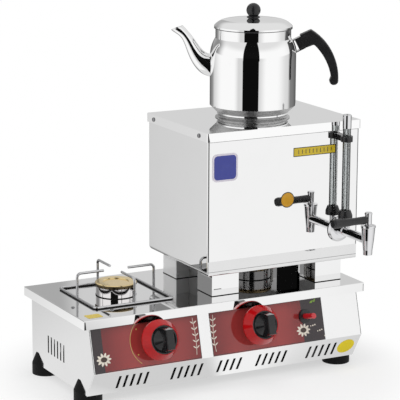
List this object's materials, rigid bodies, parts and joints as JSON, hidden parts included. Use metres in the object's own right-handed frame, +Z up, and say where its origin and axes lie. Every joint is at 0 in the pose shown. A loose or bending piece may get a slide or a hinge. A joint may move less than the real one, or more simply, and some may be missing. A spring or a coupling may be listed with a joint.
{
  "type": "tea urn",
  "caption": "gas tea stove: steel base with two burners and knobs, square hot-water boiler with tap and sight tube, and a teapot on its lid",
  "frame": {"origin": "on the table, under the middle of the outer box", "axes": "X from the left burner to the boiler, Y from the control face to the back, Z up"},
  "size_m": [0.56, 0.3649, 0.6611],
  "materials": {
    "casing_steel": "satin stainless sheet",
    "mirror_steel": "polished stainless sheet",
    "teapot_steel": "polished stainless steel",
    "screw_steel": "plated steel",
    "chrome": "chrome plate",
    "brass": "turned brass",
    "cast_tube": "cast aluminium",
    "rubber": "black moulded rubber",
    "black_plastic": "black heat-proof plastic",
    "red_plastic": "glossy red plastic",
    "printed_plate": "printed aluminium plate",
    "sight_glass": "clear glass tube",
    "ceramic": "glazed ceramic"
  },
  "bodies": {
    "base": {"back_panel": "casing_steel", "boiler_body": "mirror_steel", "boiler_lid": "mirror_steel", "bottom_plate": "casing_steel", "burner_cap_right": "brass", "burner_cup_left": "chrome", "burner_cup_right": "chrome", "casing_screws": "screw_steel", "control_plate_left": "printed_plate", "control_plate_right": "printed_plate", "cooktop": "mirror_steel", "electrode": "ceramic", "front_panel": "casing_steel", "gas_inlet": "brass", "gas_jets": "brass", "gas_rail": "screw_steel", "gauge_cap": "chrome", "gauge_clamp": "black_plastic", "gauge_nut": "black_plastic", "gauge_tube": "sight_glass", "igniter_bezel": "black_plastic", "igniter_body": "black_plastic", "leg_front_left": "mirror_steel", "leg_front_right": "mirror_steel", "leg_rear_left": "mirror_steel", "leg_rear_right": "mirror_steel", "lid_screws": "screw_steel", "mixing_tube_left": "cast_tube", "mixing_tube_right": "cast_tube", "rubber_feet": "rubber", "side_panel_left": "casing_steel", "side_panel_right": "casing_steel", "tap_backnut": "brass", "tap_body": "chrome", "tap_escutcheon": "chrome", "tap_seals": "rubber", "valve_left": "brass", "valve_right": "brass"},
    "left_press": {"knob_washer_left": "screw_steel"},
    "left_knob": {"spindle_left": "screw_steel", "dial_left": "red_plastic", "grip_left": "black_plastic"},
    "right_press": {"knob_washer_right": "screw_steel"},
    "right_knob": {"spindle_right": "screw_steel", "dial_right": "red_plastic", "grip_right": "black_plastic"},
    "igniter_push": {"igniter_button": "red_plastic"},
    "tap_turner": {"tap_plug": "chrome", "tap_handle": "black_plastic", "tap_crown": "chrome"},
    "support_frame": {"pot_support": "chrome"},
    "loose_cap": {"burner_cap_left": "brass"},
    "teapot": {"teapot_body": "teapot_steel", "teapot_spout": "teapot_steel", "handle_bracket": "teapot_steel", "teapot_handle": "black_plastic"},
    "cover": {"teapot_lid": "teapot_steel", "lid_knob": "black_plastic"}
  },
  "joints": [
    {"name": "left_push", "type": "slide", "parent": "base", "child": "left_press", "axis": [0, 0.9646, -0.2639], "range_m": [0, 0.0035], "stiffness_N_per_m": 1500, "springref_m": -0.002},
    {"name": "left_turn", "type": "hinge", "parent": "left_press", "child": "left_knob", "pos_m": [-0.1476, -0.09291, 0.10714], "axis": [0, -0.9646, 0.2639], "range_deg": [0, 180]},
    {"name": "right_push", "type": "slide", "parent": "base", "child": "right_press", "axis": [0, 0.9646, -0.2639], "range_m": [0, 0.0035], "stiffness_N_per_m": 1500, "springref_m": -0.002},
    {"name": "right_turn", "type": "hinge", "parent": "right_press", "child": "right_knob", "pos_m": [0.0509, -0.09291, 0.10714], "axis": [0, -0.9646, 0.2639], "range_deg": [0, 180]},
    {"name": "igniter_press", "type": "slide", "parent": "base", "child": "igniter_push", "axis": [0, 0.9646, -0.2639], "range_m": [0, 0.008], "stiffness_N_per_m": 500, "springref_m": -0.004},
    {"name": "tap_turn", "type": "hinge", "parent": "base", "child": "tap_turner", "pos_m": [0.235, -0.1693, 0.27], "axis": [0, 0, 1], "range_deg": [0, 90]},
    {"name": "support_lift", "type": "slide", "parent": "base", "child": "support_frame", "axis": [0, 0, 1], "range_m": [0, 0.08]},
    {"name": "cap_lift", "type": "slide", "parent": "base", "child": "loose_cap", "axis": [0, 0, 1], "range_m": [0, 0.016]},
    {"name": "teapot_lift", "type": "slide", "parent": "base", "child": "teapot", "axis": [0, 0, 1], "range_m": [0, 0.1]},
    {"name": "cover_lift", "type": "slide", "parent": "teapot", "child": "cover", "axis": [0, 0, 1], "range_m": [0, 0.06]}
  ]
}
